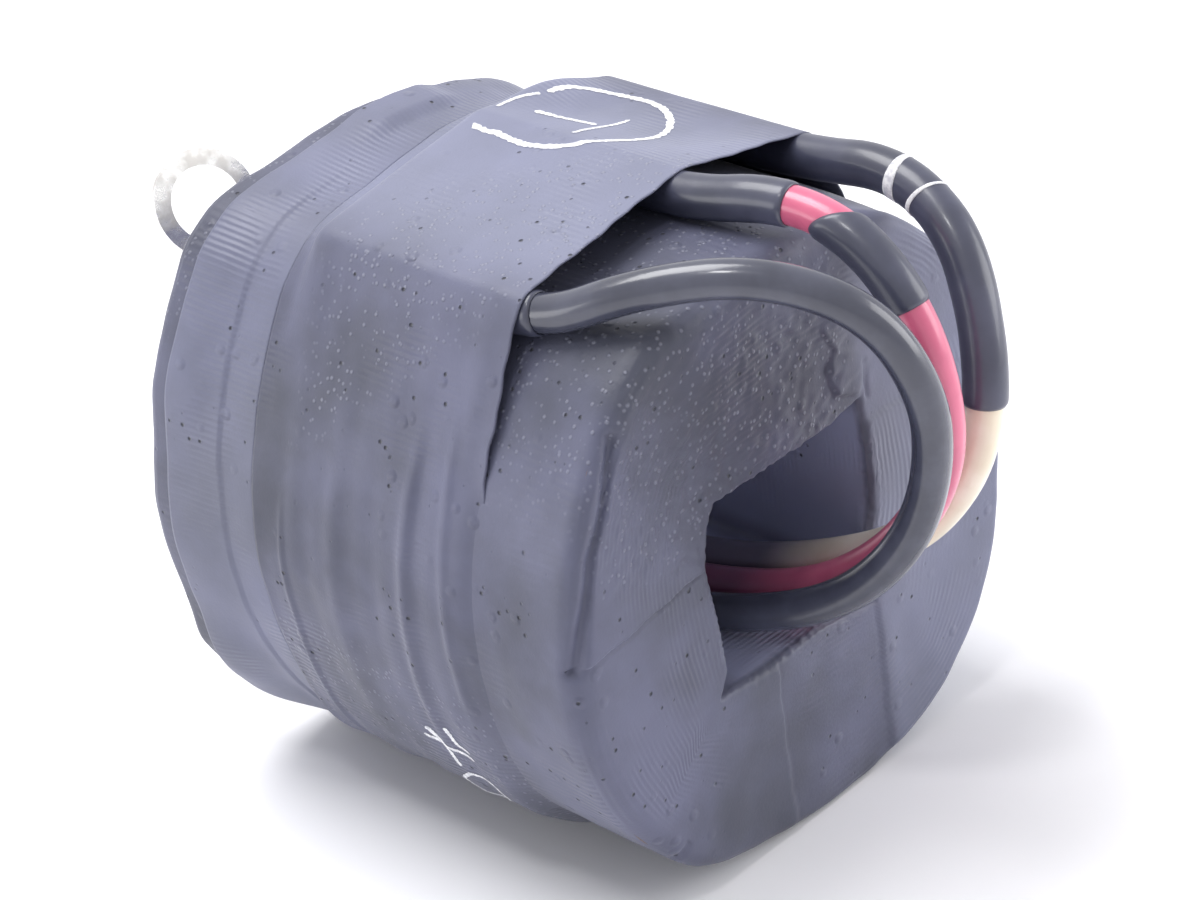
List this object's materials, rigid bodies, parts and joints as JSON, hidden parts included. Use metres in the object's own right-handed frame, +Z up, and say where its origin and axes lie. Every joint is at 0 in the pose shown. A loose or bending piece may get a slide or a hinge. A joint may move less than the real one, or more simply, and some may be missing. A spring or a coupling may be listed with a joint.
{
  "type": "taped coil with flying leads",
  "caption": "Square taped electrical coil with a through window for an iron core and flexible leads that end in ring terminals.",
  "frame": {"origin": "middle of the coil's footprint, on the floor under the flat underside", "axes": "+Z up, +Y along the window's axis from the face the leads loop over to the rear face, +X to the right seen from that face"},
  "size_m": [0.0818, 0.1379, 0.0885],
  "materials": {
    "former_board": "matt pressed board",
    "winding_wire": "enamelled copper wire",
    "insulation_sheet": "matt sheet",
    "black_tape": "varnished friction tape",
    "black_lead": "satin rubber",
    "red_lead": "satin rubber",
    "cream_lead": "satin rubber",
    "black_sleeve": "satin sleeve",
    "tinned_copper": "tinned"
  },
  "bodies": {
    "root": {"former_tube": "former_board", "front_cheek": "former_board", "rear_cheek": "former_board", "inner_winding": "winding_wire", "interlayer_insulation": "insulation_sheet", "outer_winding": "winding_wire", "outer_insulation": "insulation_sheet", "ground_wrap": "black_tape", "cover_band": "black_tape", "rear_band": "black_tape", "lead_black": "black_lead", "lead_red": "red_lead", "lead_cream": "cream_lead", "splice_black": "tinned_copper", "splice_red": "tinned_copper", "splice_cream": "tinned_copper", "winding_tail_black": "winding_wire", "winding_tail_red": "winding_wire", "winding_tail_cream": "winding_wire", "joint_sleeve_black": "black_sleeve", "joint_sleeve_red": "black_sleeve", "joint_sleeve_cream": "black_sleeve", "mid_sleeve_red": "black_sleeve", "terminal_black": "tinned_copper", "terminal_red": "tinned_copper", "terminal_cream": "tinned_copper"}
  },
  "joints": []
}
